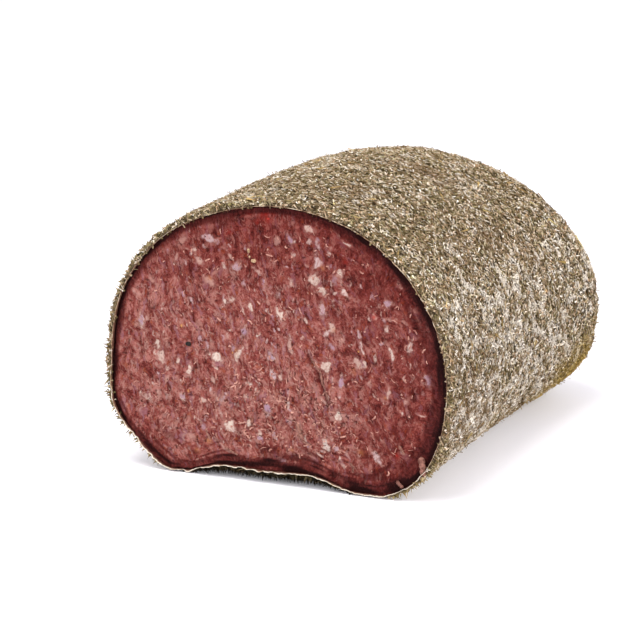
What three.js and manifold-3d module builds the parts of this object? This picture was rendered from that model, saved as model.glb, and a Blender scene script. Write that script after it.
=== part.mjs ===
// The cut half of a wide cured sausage in a coat of dried herbs, lying on its flattened side.
// Millimetres, +Z up. The cut faces -Y. The origin is on the floor, under the middle of the part.
import * as THREE from "three";
import { mergeVertices } from "three/addons/utils/BufferGeometryUtils.js";
import Module from "manifold-3d";

const wasm = await Module();
wasm.setup();

// Driving dimensions
const LENGTH = 153; // from the cut to the far end
const END_DEPTH = 32; // the last stretch, which rounds over to the far end
const END_FULLNESS = 2; // the power of the end's rounding: 2 is an ellipse, more is blunter
const END_HEIGHT = 16; // height of the far end's middle above the floor
const END_SIDE = 14; // how far the far end's middle lies to the right
const COAT = 1.8; // thickness of the casing with the herbs on it
const GAP = 0.3; // between the casing and the meat
const FLARE = 0.35; // how much wider the loaf would be at the far end than at the cut
const SWELL = 0.008; // how its height first grows along the length
const SAG = 0.155; // how its height then falls again
const DRIFT = -8.5; // sideways run of the loaf at the far end

// The outline of the cut, seen from the front: how far right and how high each place lies.
// The loaf has sunk onto two long feet, with a low arch between them.
const OUTLINE = {
  right: [62.4, 33.6],
  right_side: [60, 54],
  right_shoulder: [50, 72.3],
  upper_right: [32, 86.8],
  top: [6.8, 93.2],
  upper_left: [-16.5, 89.8],
  left_shoulder: [-37.6, 79.4],
  left_side: [-52.6, 59.3],
  left: [-56.7, 38.8],
  left_haunch: [-55.8, 20.5],
  left_corner: [-47.4, 9.3],
  left_foot: [-34.2, -0.6],
  arch_left: [-17.4, 3.3],
  arch: [-1.5, 3.2],
  arch_right: [15.2, 3.6],
  right_foot: [32.3, -0.6],
  right_corner: [43.8, 1.6],
  right_haunch: [57, 13.4],
};

// How finely the surfaces are cut up
const COAT_COLUMNS = 78; // round the outside of the coat, where it is straight
const COAT_STEP = 4.3; // along it
const COAT_END_RINGS = 11; // over its rounded end
const MEAT_COLUMNS = 56; // round the meat, and the hollow that holds it
const MEAT_STEP = 16; // along them
const MEAT_END_RINGS = 6; // over their rounded end
const FACE_RINGS = 13; // from the meat's rim to the middle of the cut
const FACE_COLUMNS = 84; // round the outermost of them
const FEWEST_COLUMNS = 6; // round the smallest ring of any surface

// The roughness of the surfaces
const HERB_BUMP = 1.4; // height of the small bumps, each the size of an herb leaf
const HERB_WAVE = 0.4; // height of the slow waves under them
const WAVE_LENGTH = 34; // from one of these to the next
const EDGE_RAGGED = 0.9; // how far the edge of the coat runs in and out at the cut
const FACE_BACK = 0.5; // how far the meat lies behind the edge of the casing
const RIM_BACK = 0.5; // how much deeper the dried rim of the meat lies
const RIM_WIDTH = 4; // width of that rim
const CRAG = 1; // height of the crags and pits of the mince
const CRAG_LENGTH = 18; // from one slow swell of the cut to the next
const SPRIGS = 80; // the largest stalks and needles, which lie on the coat
const SPRIG_LENGTH = [5, 9];
const SPRIG_RADIUS = [0.5, 0.75];
const SPRIG_LEAN = 0.12; // most that one tips out of the surface, in radians
const SPRIG_SINK = 0.25; // how far its middle line lies under the skin
const SPRIG_CLEAR = 4; // kept free at the floor and at the cut

const FRONT = -LENGTH / 2;
const HALF_WIDTH = 68.9; // of the widest place, near the far end
const HEIGHT = 94.5; // of the highest place
const FACE_MIDDLE = 45; // height of the middle of the cut
const MEAT_START = FACE_BACK + RIM_BACK;

// Seeded random numbers from 0 to 1
function randomSource(seed) {
  let state = seed;
  return () => {
    state = (state + 0x6d2b79f5) | 0;
    let mixed = Math.imul(state ^ (state >>> 15), 1 | state);
    mixed = (mixed + Math.imul(mixed ^ (mixed >>> 7), 61 | mixed)) ^ mixed;
    return ((mixed ^ (mixed >>> 14)) >>> 0) / 4294967296;
  };
}

const between = (range, part) => range[0] + (range[1] - range[0]) * part;

// The outline as a smooth closed curve, counter-clockwise seen from the front
const outlineCurve = new THREE.CatmullRomCurve3(
  Object.values(OUTLINE).map(([right, up]) => new THREE.Vector3(right, 0, up)),
  true,
  "centripetal",
);
outlineCurve.arcLengthDivisions = 1200;

// A place on the outline, moved inwards by inset
function outlinePoint(part, inset) {
  const place = outlineCurve.getPointAt(part % 1);
  const along = outlineCurve.getTangentAt(part % 1);
  return new THREE.Vector2(place.x - along.z * inset, place.z + along.x * inset);
}

// How large the section still is on its way to the far end, from 1 to 0
function closingAt(far, inset) {
  const over = (far - (LENGTH - END_DEPTH)) / (END_DEPTH - inset);
  return Math.pow(1 - Math.pow(THREE.MathUtils.clamp(over, 0, 1), 2), 1 / END_FULLNESS);
}

// A place on the loaf's skin: part goes once round, far goes from the cut to the far end
function skinPoint(part, far, inset) {
  const t = far / LENGTH;
  const closing = closingAt(far, inset);
  const width = 1 + FLARE * Math.pow(t, 4);
  const height = 1 + SWELL * t - SAG * Math.pow(t, 3);
  const place = outlinePoint(part, inset);
  const x = DRIFT * Math.pow(t, 5) + END_SIDE * (1 - closing) + place.x * width * closing;
  const z = place.y * height * closing + END_HEIGHT * (1 - closing);
  return new THREE.Vector3(x, FRONT + far, Math.max(z, inset));
}

// The way out of the skin at a place
function skinNormal(part, far) {
  const step = 0.002;
  const round = skinPoint(part + step, far, 0).sub(skinPoint(part + 1 - step, far, 0));
  const along = skinPoint(part, Math.min(far + 1, LENGTH), 0).sub(skinPoint(part, far - 1, 0));
  return round.cross(along).normalize().negate();
}

// Distances from the cut, evenly along the side and closer over the rounded end
function stations(start, step, inset, endRings) {
  const straight = LENGTH - END_DEPTH - start;
  const count = Math.ceil(straight / step);
  const list = [];
  for (let i = 0; i <= count; i++) list.push(start + (straight * i) / count);
  for (let i = 1; i < endRings; i++) {
    const turn = (i / endRings) * (Math.PI / 2);
    list.push(LENGTH - END_DEPTH + (END_DEPTH - inset) * Math.sin(turn));
  }
  return list;
}

// The triangles between two rings, which may have different numbers of points.
// The ring whose next point comes sooner on the way round takes the next step.
function bandTriangles(near, far) {
  const triangles = [];
  let i = 0;
  let j = 0;
  while (i < near.count || j < far.count) {
    const nearPoint = near.start + (i % near.count);
    const farPoint = far.start + (j % far.count);
    if (j === far.count || (i < near.count && (i + 1) / near.count <= (j + 1) / far.count)) {
      i += 1;
      triangles.push(nearPoint, farPoint, near.start + (i % near.count));
    } else {
      j += 1;
      triangles.push(nearPoint, farPoint, far.start + (j % far.count));
    }
  }
  return triangles;
}

// A solid from rings of points, closed by a point before the first ring and one after the last
function solidOfRings(rings, firstPoint, lastPoint) {
  const loops = [[firstPoint], ...rings, [lastPoint]];
  const spans = [];
  let start = 0;
  for (const loop of loops) {
    spans.push({ start, count: loop.length });
    start += loop.length;
  }
  const triangles = [];
  for (let k = 0; k + 1 < spans.length; k++) triangles.push(...bandTriangles(spans[k], spans[k + 1]));
  const solid = [];
  for (let k = 0; k < triangles.length; k += 3) {
    const corners = triangles.slice(k, k + 3);
    if (new Set(corners).size === 3) solid.push(...corners);
  }
  const geometry = new THREE.BufferGeometry().setFromPoints(loops.flat());
  geometry.setIndex(solid);
  return toSolid(geometry);
}

function toSolid(geometry) {
  geometry.deleteAttribute("normal");
  geometry.deleteAttribute("uv");
  const merged = mergeVertices(geometry, 1e-4);
  return new wasm.Manifold(
    new wasm.Mesh({
      numProp: 3,
      vertProperties: new Float32Array(merged.attributes.position.array),
      triVerts: new Uint32Array(merged.index.array),
    }),
  );
}

function toMesh(solid, name, material) {
  const made = solid.getMesh();
  const geometry = new THREE.BufferGeometry();
  geometry.setAttribute("position", new THREE.BufferAttribute(made.vertProperties, 3));
  geometry.setIndex(new THREE.BufferAttribute(made.triVerts, 1));
  geometry.computeVertexNormals();
  const mesh = new THREE.Mesh(geometry, material);
  mesh.name = name;
  return mesh;
}

// A ring of points, with fewer of them where the ring is smaller
function ring(columns, size, pointAt) {
  const count = Math.max(Math.round(columns * Math.min(size, 1)), FEWEST_COLUMNS);
  return Array.from({ length: count }, (_, i) => pointAt(i / count));
}

// Slow swells over a surface, from -1 to 1, about a wave length apart
function slowWave(place, waveLength) {
  const turn = (2 * Math.PI) / waveLength;
  const across = Math.sin(turn * (place.x + 0.6 * place.y));
  return across * Math.sin(turn * (place.z - 0.8 * place.y));
}

// The coat's outer skin, rough with herb-sized bumps, with flat feet
function coatBody() {
  const random = randomSource(11);
  const far = stations(0, COAT_STEP, 0, COAT_END_RINGS);
  const rings = far.map((distance, row) =>
    ring(COAT_COLUMNS, closingAt(distance, 0), (part) => {
      const place = skinPoint(part, distance, 0);
      const lift = HERB_BUMP * (random() - 0.5) + HERB_WAVE * slowWave(place, WAVE_LENGTH);
      const free = THREE.MathUtils.smoothstep(place.z, 0.3, 3);
      const ragged = row === 0 ? EDGE_RAGGED * random() * free : 0;
      place.addScaledVector(skinNormal(part, Math.max(distance, 1)), lift * free);
      place.x = THREE.MathUtils.clamp(place.x, -HALF_WIDTH, HALF_WIDTH);
      place.y = THREE.MathUtils.clamp(place.y, FRONT, -FRONT) + ragged;
      place.z = Math.max(place.z, 0);
      return place;
    }),
  );
  const middle = new THREE.Vector3(0, FRONT, FACE_MIDDLE);
  return solidOfRings(rings, middle, skinPoint(0, LENGTH, 0));
}

// The rings of a surface that lies inset inside the skin
function innerRings(inset) {
  return stations(MEAT_START, MEAT_STEP, inset, MEAT_END_RINGS).map((far) =>
    ring(MEAT_COLUMNS, closingAt(far, inset), (part) => skinPoint(part, far, inset)),
  );
}

// The hollow in the casing that the meat fills, run out through the cut
function hollowBody() {
  const out = 5;
  const rings = innerRings(COAT);
  const mouth = rings[0].map((place) => new THREE.Vector3(place.x, FRONT - out, place.z));
  const middle = new THREE.Vector3(0, FRONT - out, FACE_MIDDLE);
  return solidOfRings([mouth, ...rings], middle, skinPoint(0, LENGTH - COAT, COAT));
}

// One stalk: a thin four-sided needle, laid half sunk on the coat
function sprig(random) {
  const length = between(SPRIG_LENGTH, random());
  const radius = between(SPRIG_RADIUS, random());
  const part = random();
  const far = SPRIG_CLEAR + random() * (LENGTH - 2 * SPRIG_CLEAR);
  const turn = random() * Math.PI;
  const lean = random() * SPRIG_LEAN;
  const place = skinPoint(part, far, 0);
  const outwards = skinNormal(part, far);
  const side = new THREE.Vector3(0, 1, 0).cross(outwards).normalize();
  const fore = outwards.clone().cross(side);
  const along = side.multiplyScalar(Math.sin(turn)).addScaledVector(fore, Math.cos(turn));
  along.addScaledVector(outwards, lean).normalize();
  const needle = new THREE.CylinderGeometry(radius * 0.35, radius, length, 4, 1);
  const upright = new THREE.Vector3(0, 1, 0);
  needle.applyQuaternion(new THREE.Quaternion().setFromUnitVectors(upright, along));
  place.addScaledVector(outwards, -SPRIG_SINK);
  needle.translate(place.x, place.y, place.z);
  const box = new THREE.Box3().setFromBufferAttribute(needle.attributes.position);
  return { needle, box };
}

// The casing in its herbs: the coat with its largest stalks fused on, hollowed out for the meat.
// A scrap that hangs on nothing falls off.
function herbCasing() {
  const random = randomSource(5);
  let solid = coatBody();
  const room = new THREE.Box3(
    new THREE.Vector3(-HALF_WIDTH, FRONT + SPRIG_CLEAR, SPRIG_CLEAR),
    new THREE.Vector3(HALF_WIDTH, -FRONT, HEIGHT),
  );
  let laid = 0;
  while (laid < SPRIGS) {
    const { needle, box } = sprig(random);
    if (!room.containsBox(box)) continue;
    solid = solid.add(toSolid(needle));
    laid += 1;
  }
  const pieces = solid.subtract(hollowBody()).decompose();
  return pieces.reduce((largest, piece) => (piece.volume() > largest.volume() ? piece : largest));
}

// The crags of the mince at the cut, as how far a place lies behind the casing's edge
function faceDepth(place, rimDistance, random) {
  const crag = CRAG * (0.3 * slowWave(place, CRAG_LENGTH) + 0.7 * (random() - 0.5));
  const rim = RIM_BACK * (1 - THREE.MathUtils.smoothstep(rimDistance, 0, RIM_WIDTH));
  return Math.max(FACE_BACK + rim + crag, 0.05);
}

// The meat: fills the casing to its far end, with a craggy cut
function meatBody() {
  const random = randomSource(23);
  const inset = COAT + GAP;
  const middle = new THREE.Vector3(0, FRONT + FACE_BACK, FACE_MIDDLE);
  const face = [];
  for (let k = 1; k < FACE_RINGS; k++) {
    const size = k / FACE_RINGS;
    face.push(
      ring(FACE_COLUMNS, size, (part) => {
        const edge = skinPoint(part, MEAT_START, inset);
        const place = new THREE.Vector3().lerpVectors(middle, edge, size);
        place.y = FRONT + faceDepth(place, place.distanceTo(edge), random);
        return place;
      }),
    );
  }
  return solidOfRings([...face, ...innerRings(inset)], middle, skinPoint(0, LENGTH - inset, inset));
}

// The finishes
const curedMeat = new THREE.MeshStandardMaterial({ color: 0x7a2f2c, roughness: 0.6, metalness: 0 });
const driedHerbs = new THREE.MeshStandardMaterial({ color: 0x837a5c, roughness: 0.95, metalness: 0 });

const sausage = new THREE.Group();
sausage.add(toMesh(meatBody(), "meat", curedMeat));
sausage.add(toMesh(herbCasing(), "herb_casing", driedHerbs));

export default sausage;
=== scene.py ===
# The cut half of a wide cured sausage in a coat of dried herbs: the finish of every surface.
import math

import bpy
import numpy as np
from mathutils import Matrix, Vector


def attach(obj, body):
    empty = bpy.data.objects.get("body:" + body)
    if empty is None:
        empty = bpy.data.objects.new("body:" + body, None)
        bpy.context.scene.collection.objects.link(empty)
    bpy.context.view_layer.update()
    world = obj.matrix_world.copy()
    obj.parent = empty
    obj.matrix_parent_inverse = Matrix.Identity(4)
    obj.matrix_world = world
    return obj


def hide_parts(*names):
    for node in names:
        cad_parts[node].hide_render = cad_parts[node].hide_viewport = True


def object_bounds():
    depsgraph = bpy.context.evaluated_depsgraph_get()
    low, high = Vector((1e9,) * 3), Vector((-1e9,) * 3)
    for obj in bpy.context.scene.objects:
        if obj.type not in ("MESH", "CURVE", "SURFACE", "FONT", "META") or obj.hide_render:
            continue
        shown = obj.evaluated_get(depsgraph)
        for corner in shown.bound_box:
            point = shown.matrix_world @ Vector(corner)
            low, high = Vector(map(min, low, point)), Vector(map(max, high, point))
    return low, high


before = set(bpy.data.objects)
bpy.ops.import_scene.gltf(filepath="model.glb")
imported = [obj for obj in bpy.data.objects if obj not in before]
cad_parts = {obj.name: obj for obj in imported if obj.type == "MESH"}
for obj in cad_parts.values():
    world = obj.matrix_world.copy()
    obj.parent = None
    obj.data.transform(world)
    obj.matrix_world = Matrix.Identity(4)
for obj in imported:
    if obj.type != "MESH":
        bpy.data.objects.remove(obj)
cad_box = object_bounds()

# Shapes are worked out in millimetres and become metres when a mesh is made
MM = 0.001

# The loaf, as its solids have it: its length, and where the cut lies
LENGTH = round((cad_box[1][1] - cad_box[0][1]) / MM)
FRONT = -LENGTH / 2
# The rounded far end: its depth, the way over it, how full it is, and how high and far right its tip lies
END_DEPTH = 32.0
END_ARC = END_DEPTH * 1.9
END_FULLNESS = 2.0
END_HEIGHT = 16.0
END_SIDE = 14.0
# How thick casing and herbs are at the right, at the left and underneath, and the gap to the meat
COAT = 1.8
COAT_LEFT = 1.3
COAT_UNDER = 0.7
GAP = 0.3
# How the loaf changes towards its far end: how it widens, swells, sags and drifts to the left
FLARE = 0.35
SWELL = 0.008
SAG = 0.155
DRIFT = -8.5

# The outline of the cut, seen from the front: how far right and how high, once round from the right
OUTLINE = {
    "right": (62.4, 33.6),
    "right_side": (60.0, 54.0),
    "right_shoulder": (50.0, 72.3),
    "upper_right": (32.0, 86.8),
    "top": (6.8, 93.2),
    "upper_left": (-16.5, 89.8),
    "left_shoulder": (-37.6, 79.4),
    "left_side": (-52.6, 59.3),
    "left": (-56.7, 38.8),
    "left_haunch": (-55.8, 20.5),
    "left_corner": (-47.4, 9.3),
    "left_foot": (-34.2, -0.6),
    "arch_left": (-17.4, 3.3),
    "arch": (-1.5, 3.2),
    "arch_right": (15.2, 3.6),
    "right_foot": (32.3, -0.6),
    "right_corner": (43.8, 1.6),
    "right_haunch": (57.0, 13.4),
}
CUT_MIDDLE = (0.0, 45.0)
# Steps of the smooth curve from one of these points to the next
OUTLINE_STEPS = 60

# The camera stands where the photograph was taken from
CAMERA_AZIMUTH = 22.98
CAMERA_ELEVATION = 15.19
CAMERA_DISTANCE = 972.3
CAMERA_TARGET = (-3.2, -26.5, 41.5)
CAMERA_FOCAL_PIXELS = 2927.0
IMAGE_PIXELS = 640
SENSOR_MM = 36.0


# Numbers and noise

def smoothstep(value, low, high):
    """A soft step from 0 at low to 1 at high."""
    part = np.clip((value - low) / (high - low), 0.0, 1.0)
    return part * part * (3.0 - 2.0 * part)


def fade(value, low, high):
    """A soft step from 1 at low to 0 at high."""
    return 1.0 - smoothstep(value, low, high)


def lattice(cell, seed):
    """A fixed random number from 0 to 1 for each whole-numbered place."""
    mask = 0xFFFFFFFF
    mixed = (cell[..., 0] * 73856093) ^ (cell[..., 1] * 19349663) ^ (cell[..., 2] * 83492791)
    mixed = (mixed ^ (seed * 374761393)) & mask
    mixed = ((mixed ^ (mixed >> 15)) * 2246822519) & mask
    mixed = ((mixed ^ (mixed >> 13)) * 3266489917) & mask
    return (mixed ^ (mixed >> 16)) / 4294967296.0


def noise(points, size, seed):
    """Smooth noise from -1 to 1 whose lumps are about size across."""
    scaled = points / size
    cell = np.floor(scaled).astype(np.int64)
    part = scaled - cell
    part = part * part * (3.0 - 2.0 * part)
    total = np.zeros(len(points))
    for corner in np.ndindex(2, 2, 2):
        weight = np.prod(np.where(np.array(corner) == 1, part, 1.0 - part), axis=1)
        total += weight * lattice(cell + np.array(corner), seed)
    return total * 2.0 - 1.0


def fractal(points, size, seed, octaves=3):
    """Noise with finer and fainter noise on it."""
    total = np.zeros(len(points))
    for octave in range(octaves):
        total += noise(points, size / 2 ** octave, seed + octave) / 2 ** octave
    return total / (2.0 - 1.0 / 2 ** (octaves - 1))


def grains(points, size, seed):
    """Distance to the nearest of scattered seed points, in sizes."""
    scaled = points / size
    cell = np.floor(scaled).astype(np.int64)
    nearest = np.full(len(points), 9.0)
    for step in np.ndindex(3, 3, 3):
        there = cell + np.array(step) - 1
        spot = np.stack([lattice(there, seed + axis) for axis in range(3)], axis=1)
        nearest = np.minimum(nearest, np.linalg.norm(there + spot - scaled, axis=1))
    return nearest


# The loaf's form

def between(t, start, first, end, second):
    """The value at t, on the way from first at start to second at end."""
    return (end - t) / (end - start) * first + (t - start) / (end - start) * second


def outline_table():
    """Places on the smooth closed outline, with how far round each lies, from 0 to 1, and its length.

    It is a Catmull-Rom curve whose steps follow the square roots of the distances between its points.
    """
    knots = np.array(list(OUTLINE.values()))
    count = len(knots)
    places = []
    for i in range(count):
        p0, p1, p2, p3 = (knots[(i + k) % count] for k in (-1, 0, 1, 2))
        t1 = math.sqrt(np.linalg.norm(p1 - p0))
        t2 = t1 + math.sqrt(np.linalg.norm(p2 - p1))
        t3 = t2 + math.sqrt(np.linalg.norm(p3 - p2))
        t = np.linspace(t1, t2, OUTLINE_STEPS, endpoint=False)[:, None]
        a1 = between(t, 0.0, p0, t1, p1)
        a2 = between(t, t1, p1, t2, p2)
        a3 = between(t, t2, p2, t3, p3)
        b1 = between(t, 0.0, a1, t2, a2)
        b2 = between(t, t1, a2, t3, a3)
        places.append(between(t, t1, b1, t2, b2))
    places = np.concatenate(places + [knots[:1]])
    steps = np.linalg.norm(np.diff(places, axis=0), axis=1)
    round_part = np.concatenate([[0.0], np.cumsum(steps)])
    return round_part / round_part[-1], places, round_part[-1]


ROUND_PARTS, ROUND_PLACES, ROUND_LENGTH = outline_table()


def outline(part, inset):
    """Places on the outline of the cut, moved inwards."""
    part = np.mod(part, 1.0)
    place = np.stack([np.interp(part, ROUND_PARTS, ROUND_PLACES[:, k]) for k in (0, 1)], axis=-1)
    step = 0.003
    ahead, behind = np.mod(part + step, 1.0), np.mod(part - step, 1.0)
    along = np.stack([np.interp(ahead, ROUND_PARTS, ROUND_PLACES[:, k])
                      - np.interp(behind, ROUND_PARTS, ROUND_PLACES[:, k]) for k in (0, 1)], axis=-1)
    along /= np.linalg.norm(along, axis=-1, keepdims=True)
    depth = np.broadcast_to(inset, part.shape)[..., None]
    return place + np.stack([-along[..., 1], along[..., 0]], axis=-1) * depth


def underside(part):
    """How far a place round the loaf belongs to its underside, from 0 to 1; at the left that reaches up."""
    place = outline(part, 0.0)
    left = smoothstep(-place[..., 0], 20.0, 45.0)
    return fade(place[..., 1], 4.0 + 9.0 * left, 18.0 + 17.0 * left)


def coat_depth(part):
    """How thick casing and herbs are: thinner at the left, and pressed thin underneath."""
    left = smoothstep(-outline(part, 0.0)[..., 0], 30.0, 52.0)
    beside = COAT + (COAT_LEFT - COAT) * left
    return beside + (COAT_UNDER - beside) * underside(part)


def closing_at(far, inset):
    """How much of the loaf's width is left at a distance from the cut: 1 along the side, 0 at the tip."""
    over = np.clip((far - (LENGTH - END_DEPTH)) / (END_DEPTH - inset), 0.0, 1.0)
    return (1.0 - over ** 2) ** (1.0 / END_FULLNESS)


def skin(part, far, inset=0.0):
    """Places on the loaf: part goes once round, far from the cut to the far end."""
    part, far = np.broadcast_arrays(np.asarray(part, float), np.asarray(far, float))
    closing = closing_at(far, inset)
    t = far / LENGTH
    width = 1.0 + FLARE * t ** 4
    height = 1.0 + SWELL * t - SAG * t ** 3
    place = outline(part, inset)
    x = DRIFT * t ** 5 + END_SIDE * (1.0 - closing) + place[..., 0] * width * closing
    z = place[..., 1] * height * closing + END_HEIGHT * (1.0 - closing)
    return np.stack([x, FRONT + far, np.maximum(z, inset)], axis=-1)


def skin_out(part, far):
    """The way out of the loaf's skin."""
    around = skin(part + 0.002, far) - skin(part - 0.002, far)
    along = skin(part, np.minimum(far + 0.5, LENGTH)) - skin(part, far - 0.5)
    out = np.cross(along, around)
    return out / np.maximum(np.linalg.norm(out, axis=-1, keepdims=True), 1e-9)


def stations(start, end, spacing):
    """Distances from the cut, evenly along the side and evenly over the rounded end."""
    turn_at = LENGTH - END_DEPTH
    side = np.linspace(start, turn_at, max(2, round((turn_at - start) / spacing)))
    turns = np.linspace(0.0, math.pi / 2, max(3, round(END_ARC / spacing)))[1:-1]
    return np.concatenate([side, turn_at + (end - turn_at) * np.sin(turns)])


def loaf_rings(start, inset, spacing):
    """Rings round the loaf, each as its parts and its distance from the cut, fewer where it closes."""
    rings = []
    for far in stations(start, LENGTH - inset, spacing):
        count = max(8, round(ROUND_LENGTH * closing_at(far, inset) / spacing))
        rings.append((np.arange(count) / count, far))
    return rings


# Meshes

def band(near_start, near_count, far_start, far_count):
    """Triangles between two rings, whatever their numbers of points."""
    faces = []
    i = j = 0
    while i < near_count or j < far_count:
        near_point = near_start + i % near_count
        far_point = far_start + j % far_count
        if j == far_count or (i < near_count and (i + 1) / near_count <= (j + 1) / far_count):
            i += 1
            faces.append((near_point, far_point, near_start + i % near_count))
        else:
            j += 1
            faces.append((near_point, far_point, far_start + j % far_count))
    return faces


def ring_surface(rings):
    """Points and triangles of a surface through rings; a ring of one point is a tip."""
    faces = []
    start = 0
    for near, far in zip(rings, rings[1:]):
        for face in band(start, len(near), start + len(near), len(far)):
            if len(set(face)) == 3:
                faces.append(face)
        start += len(near)
    return np.concatenate(rings), faces


def make_mesh(name, points, faces, attributes=None, smooth=True):
    """A mesh in metres with any named numbers, or triples of numbers, at its points."""
    mesh = bpy.data.meshes.new(name)
    mesh.from_pydata((np.asarray(points) * MM).tolist(), [], [tuple(map(int, face)) for face in faces])
    for key, values in (attributes or {}).items():
        values = np.asarray(values, dtype=np.float32)
        kind, field = ("FLOAT", "value") if values.ndim == 1 else ("FLOAT_VECTOR", "vector")
        layer = mesh.attributes.new(key, kind, "POINT")
        layer.data.foreach_set(field, values.ravel())
    mesh.polygons.foreach_set("use_smooth", [smooth] * len(mesh.polygons))
    mesh.update()
    return mesh


def add_object(mesh, material):
    """An object for a mesh, at the origin."""
    mesh.materials.clear()
    mesh.materials.append(material)
    thing = bpy.data.objects.new(mesh.name, mesh)
    bpy.context.scene.collection.objects.link(thing)
    return thing


def finish_piece(thing, node):
    """Hangs a piece on the root and hides the solid it stands for."""
    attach(thing, "root")
    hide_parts(node)


def add_piece(mesh, material, node):
    """A finished piece that stands for one of the two solids."""
    finish_piece(add_object(mesh, material), node)


# Node trees and materials

class NodeKit:
    """A node tree being built: every input takes a plain value or another node's socket."""

    def __init__(self, tree):
        self.tree = tree

    def feed(self, socket, value):
        """Sets a socket to a plain value or joins it to another socket."""
        if isinstance(value, bpy.types.NodeSocket):
            self.tree.links.new(value, socket)
        else:
            socket.default_value = value

    def add(self, kind, inputs=None, **settings):
        """A node with its settings made first and its inputs fed after them."""
        node = self.tree.nodes.new(kind)
        for key, value in settings.items():
            setattr(node, key, value)
        for key, value in (inputs or {}).items():
            self.feed(node.inputs[key], value)
        return node

    def math(self, operation, first, second=0.0):
        return self.add("ShaderNodeMath", {0: first, 1: second}, operation=operation).outputs[0]

    def times(self, *factors):
        """The product of values."""
        result = factors[0]
        for factor in factors[1:]:
            result = self.math("MULTIPLY", result, factor)
        return result


class Finish(NodeKit):
    """A material being built from nodes, on Object coordinates."""

    def __init__(self, name):
        self.material = bpy.data.materials.new(name)
        self.material.use_nodes = True
        super().__init__(self.material.node_tree)
        self.tree.nodes.clear()
        self.shader = self.add("ShaderNodeBsdfPrincipled")
        self.add("ShaderNodeOutputMaterial", {"Surface": self.shader.outputs["BSDF"]})
        self.place = self.add("ShaderNodeTexCoord").outputs["Object"]

    def stretched(self, along, place):
        """Coordinates for a pattern drawn out along the flow, the more so the smaller along is."""
        return self.add("ShaderNodeMapping", {"Vector": place, "Scale": (1.0, along, 1.0)}).outputs["Vector"]

    def noise(self, size, detail, rough, place=None, distortion=0.0):
        """Noise whose lumps are about size millimetres across."""
        return self.add("ShaderNodeTexNoise", {
            "Vector": place or self.place, "Scale": 1.0 / (size * MM), "Detail": detail,
            "Roughness": rough, "Distortion": distortion}).outputs["Fac"]

    def cells(self, size, place):
        """Grains about size millimetres across: their distance and their own random number."""
        node = self.add("ShaderNodeTexVoronoi", {"Vector": place, "Scale": 1.0 / (size * MM)})
        split = self.add("ShaderNodeSeparateColor", {"Color": node.outputs["Color"]})
        return node.outputs["Distance"], split.outputs["Red"]

    def warped(self, size, amount, place):
        """Coordinates pushed about by noise, so that grains and patches get ragged edges."""
        push = self.add("ShaderNodeTexNoise", {"Vector": place, "Scale": 1.0 / (size * MM), "Detail": 2.0})
        centred = self.add("ShaderNodeVectorMath", {0: push.outputs["Color"], 1: (0.5, 0.5, 0.5)},
                           operation="SUBTRACT")
        moved = self.add("ShaderNodeVectorMath", {0: centred.outputs[0], 1: (amount * MM,) * 3, 2: place},
                         operation="MULTIPLY_ADD")
        return moved.outputs[0]

    def attribute(self, name, output="Fac"):
        """A mark that the mesh carries."""
        return self.add("ShaderNodeAttribute", attribute_name=name).outputs[output]

    def total(self, *shares):
        """The sum of values, each times its own weight."""
        result = None
        for value, weight in shares:
            part = self.math("MULTIPLY", value, weight)
            result = part if result is None else self.math("ADD", result, part)
        return result

    def rest(self, value):
        """What a value leaves of 1."""
        return self.math("SUBTRACT", 1.0, value)

    def step(self, value, low, high):
        """A soft step from 0 at low to 1 at high."""
        return self.add("ShaderNodeMapRange", {"Value": value, "From Min": low, "From Max": high},
                        interpolation_type="SMOOTHSTEP").outputs["Result"]

    def soft_patch(self, value, low, high, most):
        """Patches where a value is high, never more than most."""
        return self.times(self.step(value, low, high), most)

    def line(self, value, middle, half):
        """Thin curling lines where a value passes middle."""
        away = self.math("ABSOLUTE", self.math("SUBTRACT", value, middle))
        return self.rest(self.step(away, 0.25 * half, half))

    def ramp(self, value, stops):
        """Colours along a value: stops is a list of places and colours."""
        node = self.add("ShaderNodeValToRGB", {"Fac": value})
        elements = node.color_ramp.elements
        elements.remove(elements[1])
        elements[0].position = stops[0][0]
        elements[0].color = (*stops[0][1], 1.0)
        for position, colour in stops[1:]:
            elements.new(position).color = (*colour, 1.0)
        return node.outputs["Color"]

    def mix(self, amount, first, second, blend="MIX"):
        """The first colour, and the second where amount is high."""
        node = self.add("ShaderNodeMix", {"Factor": amount}, data_type="RGBA", blend_type=blend)
        colours_in = [s for s in node.inputs if s.type == "RGBA"]
        for socket, value in zip(colours_in, (first, second)):
            self.feed(socket, value if isinstance(value, bpy.types.NodeSocket) else (*value, 1.0))
        return [s for s in node.outputs if s.type == "RGBA"][0]

    def tinted(self, amount, colour, tint):
        """A colour that is multiplied by a tint where amount is high."""
        return self.mix(amount, colour, self.mix(1.0, colour, tint, "MULTIPLY"))

    def bump(self, height, depth):
        """Relief in the shading, depth millimetres deep."""
        return self.add("ShaderNodeBump", {"Height": height, "Distance": depth * MM}).outputs["Normal"]

    def done(self, colour, roughness, specular, normal=None, **constants):
        """The material, with all that it was given on its shader."""
        given = {"Base Color": colour, "Roughness": roughness, "Specular IOR Level": specular, **constants}
        if normal is not None:
            given["Normal"] = normal
        for key, value in given.items():
            self.feed(self.shader.inputs[key], value)
        return self.material


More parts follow.
